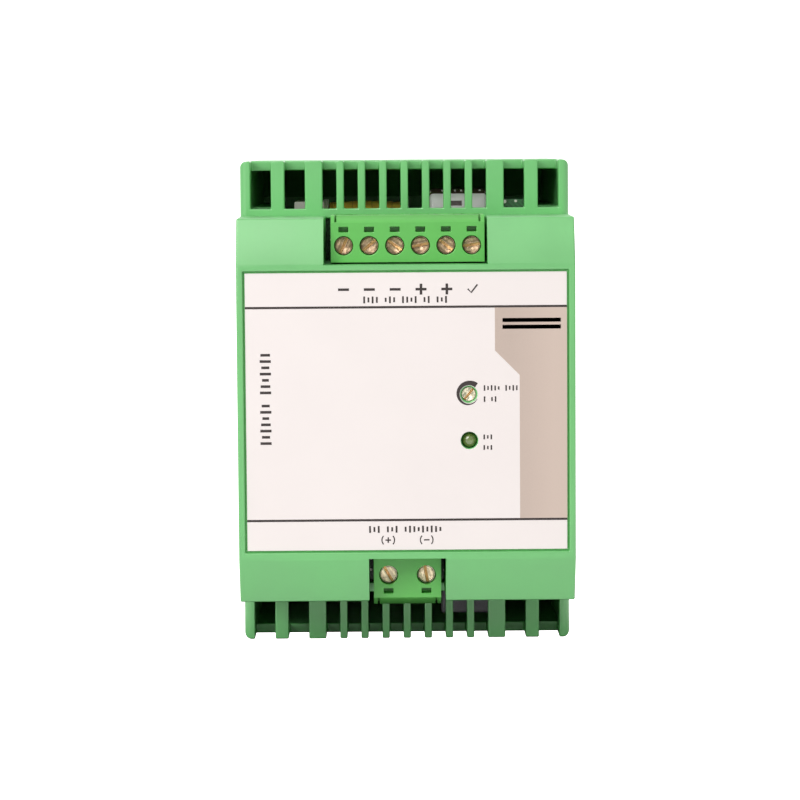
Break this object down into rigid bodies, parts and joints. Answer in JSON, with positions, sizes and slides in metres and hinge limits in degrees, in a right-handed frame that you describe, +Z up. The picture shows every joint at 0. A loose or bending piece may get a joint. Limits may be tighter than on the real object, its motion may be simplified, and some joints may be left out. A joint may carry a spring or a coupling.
{
  "type": "din rail power supply",
  "caption": "Stepped green plastic rail-mount power supply with vented shoulders, pluggable screw terminals, a trimmer, a status lamp and a sprung rail foot.",
  "frame": {"origin": "middle of the flat seat face that rests on the mounting rail, on the housing's middle plane and at mid height", "axes": "+X right as seen from the front, +Y back towards the rail, +Z up with the output terminals at the top"},
  "size_m": [0.0676, 0.107, 0.099],
  "materials": {
    "housing_plastic": "satin",
    "plug_plastic": "satin",
    "latch_plastic": "satin",
    "label_film": "satin",
    "spring_steel": "polished",
    "screw_metal": "satin",
    "cage_metal": "satin",
    "contact_metal": "satin",
    "board_laminate": "satin",
    "trimmer_plastic": "gloss",
    "rotor_metal": "satin",
    "lamp_lens": "gloss",
    "ferrite": "matte",
    "bobbin_plastic": "satin",
    "winding_tape": "satin",
    "capacitor_sleeve": "gloss",
    "film_case": "matte",
    "fuse_case": "matte",
    "choke_coating": "matte",
    "copper_wire": "gloss",
    "chip_resin": "matte",
    "disc_coating": "satin",
    "heat_sink_metal": "satin"
  },
  "bodies": {
    "housing": {"base_housing": "housing_plastic", "front_housing": "housing_plastic", "front_label": "label_film", "latch_spring": "spring_steel", "connector_board": "board_laminate", "indicator_board": "board_laminate", "primary_board": "board_laminate", "secondary_board": "board_laminate", "board_link_pins": "contact_metal", "output_header": "plug_plastic", "output_header_pins": "contact_metal", "input_header": "plug_plastic", "input_header_pins": "contact_metal", "trimmer_body": "trimmer_plastic", "status_lamp": "lamp_lens", "transformer_core": "ferrite", "transformer_bobbin": "bobbin_plastic", "transformer_winding": "winding_tape", "mains_capacitor": "capacitor_sleeve", "filter_capacitor": "film_case", "input_fuse": "fuse_case", "choke_core": "choke_coating", "choke_coils": "copper_wire", "bridge_rectifier": "chip_resin", "switch_transistor": "chip_resin", "primary_heat_sink": "heat_sink_metal", "suppression_capacitors": "disc_coating", "output_rectifier": "chip_resin", "secondary_heat_sink": "heat_sink_metal", "heat_sink_screws": "screw_metal", "output_inductor": "copper_wire", "output_capacitor_1": "capacitor_sleeve", "output_capacitor_2": "capacitor_sleeve", "output_capacitor_3": "capacitor_sleeve", "control_chips": "chip_resin"},
    "foot_latch": {"foot_latch": "latch_plastic"},
    "trimmer_rotor": {"trimmer_rotor": "rotor_metal"},
    "output_plug": {"output_plug": "plug_plastic", "output_contacts": "contact_metal"},
    "input_plug": {"input_plug": "plug_plastic", "input_contacts": "contact_metal"},
    "output_screw_1": {"output_screw_1": "screw_metal"},
    "output_cage_1": {"output_cage_1": "cage_metal"},
    "output_screw_2": {"output_screw_2": "screw_metal"},
    "output_cage_2": {"output_cage_2": "cage_metal"},
    "output_screw_3": {"output_screw_3": "screw_metal"},
    "output_cage_3": {"output_cage_3": "cage_metal"},
    "output_screw_4": {"output_screw_4": "screw_metal"},
    "output_cage_4": {"output_cage_4": "cage_metal"},
    "output_screw_5": {"output_screw_5": "screw_metal"},
    "output_cage_5": {"output_cage_5": "cage_metal"},
    "output_screw_6": {"output_screw_6": "screw_metal"},
    "output_cage_6": {"output_cage_6": "cage_metal"},
    "input_screw_1": {"input_screw_1": "screw_metal"},
    "input_cage_1": {"input_cage_1": "cage_metal"},
    "input_screw_2": {"input_screw_2": "screw_metal"},
    "input_cage_2": {"input_cage_2": "cage_metal"}
  },
  "joints": [
    {"name": "latch_pull", "type": "slide", "parent": "housing", "child": "foot_latch", "axis": [0, 0, -1], "range_m": [0, 0.0035], "stiffness_N_per_m": 1500, "springref_m": -0.003, "deforming": ["latch_spring"]},
    {"name": "trimmer_turn", "type": "hinge", "parent": "housing", "child": "trimmer_rotor", "pos_m": [0.0123, -0.1008, 0.00345], "axis": [0, 1, 0], "range_deg": [-135, 135]},
    {"name": "output_plug_pull", "type": "slide", "parent": "housing", "child": "output_plug", "axis": [0, -1, 0], "range_m": [0, 0.012]},
    {"name": "input_plug_pull", "type": "slide", "parent": "housing", "child": "input_plug", "axis": [0, -1, 0], "range_m": [0, 0.012]},
    {"name": "output_screw_1_turn", "type": "hinge", "parent": "output_plug", "child": "output_screw_1", "pos_m": [-0.01225, -0.0953, 0.03275], "axis": [0, 1, 0], "range_deg": [0, 1728]},
    {"name": "output_cage_1_lift", "type": "slide", "parent": "output_plug", "child": "output_cage_1", "axis": [0, -1, 0], "range_m": [0, 0.0024]},
    {"name": "output_screw_2_turn", "type": "hinge", "parent": "output_plug", "child": "output_screw_2", "pos_m": [-0.00717, -0.0953, 0.03275], "axis": [0, 1, 0], "range_deg": [0, 1728]},
    {"name": "output_cage_2_lift", "type": "slide", "parent": "output_plug", "child": "output_cage_2", "axis": [0, -1, 0], "range_m": [0, 0.0024]},
    {"name": "output_screw_3_turn", "type": "hinge", "parent": "output_plug", "child": "output_screw_3", "pos_m": [-0.00209, -0.0953, 0.03275], "axis": [0, 1, 0], "range_deg": [0, 1728]},
    {"name": "output_cage_3_lift", "type": "slide", "parent": "output_plug", "child": "output_cage_3", "axis": [0, -1, 0], "range_m": [0, 0.0024]},
    {"name": "output_screw_4_turn", "type": "hinge", "parent": "output_plug", "child": "output_screw_4", "pos_m": [0.00299, -0.0953, 0.03275], "axis": [0, 1, 0], "range_deg": [0, 1728]},
    {"name": "output_cage_4_lift", "type": "slide", "parent": "output_plug", "child": "output_cage_4", "axis": [0, -1, 0], "range_m": [0, 0.0024]},
    {"name": "output_screw_5_turn", "type": "hinge", "parent": "output_plug", "child": "output_screw_5", "pos_m": [0.00807, -0.0953, 0.03275], "axis": [0, 1, 0], "range_deg": [0, 1728]},
    {"name": "output_cage_5_lift", "type": "slide", "parent": "output_plug", "child": "output_cage_5", "axis": [0, -1, 0], "range_m": [0, 0.0024]},
    {"name": "output_screw_6_turn", "type": "hinge", "parent": "output_plug", "child": "output_screw_6", "pos_m": [0.01315, -0.0953, 0.03275], "axis": [0, 1, 0], "range_deg": [0, 1728]},
    {"name": "output_cage_6_lift", "type": "slide", "parent": "output_plug", "child": "output_cage_6", "axis": [0, -1, 0], "range_m": [0, 0.0024]},
    {"name": "input_screw_1_turn", "type": "hinge", "parent": "input_plug", "child": "input_screw_1", "pos_m": [-0.00381, -0.0928, -0.0335], "axis": [0, 1, 0], "range_deg": [0, 1728]},
    {"name": "input_cage_1_lift", "type": "slide", "parent": "input_plug", "child": "input_cage_1", "axis": [0, -1, 0], "range_m": [0, 0.0024]},
    {"name": "input_screw_2_turn", "type": "hinge", "parent": "input_plug", "child": "input_screw_2", "pos_m": [0.00381, -0.0928, -0.0335], "axis": [0, 1, 0], "range_deg": [0, 1728]},
    {"name": "input_cage_2_lift", "type": "slide", "parent": "input_plug", "child": "input_cage_2", "axis": [0, -1, 0], "range_m": [0, 0.0024]}
  ],
  "couplings": [
    {"joint": "output_screw_1_turn", "follows": "output_cage_1_lift", "rad_per_m": 12566},
    {"joint": "output_screw_2_turn", "follows": "output_cage_2_lift", "rad_per_m": 12566},
    {"joint": "output_screw_3_turn", "follows": "output_cage_3_lift", "rad_per_m": 12566},
    {"joint": "output_screw_4_turn", "follows": "output_cage_4_lift", "rad_per_m": 12566},
    {"joint": "output_screw_5_turn", "follows": "output_cage_5_lift", "rad_per_m": 12566},
    {"joint": "output_screw_6_turn", "follows": "output_cage_6_lift", "rad_per_m": 12566},
    {"joint": "input_screw_1_turn", "follows": "input_cage_1_lift", "rad_per_m": 12566},
    {"joint": "input_screw_2_turn", "follows": "input_cage_2_lift", "rad_per_m": 12566}
  ]
}
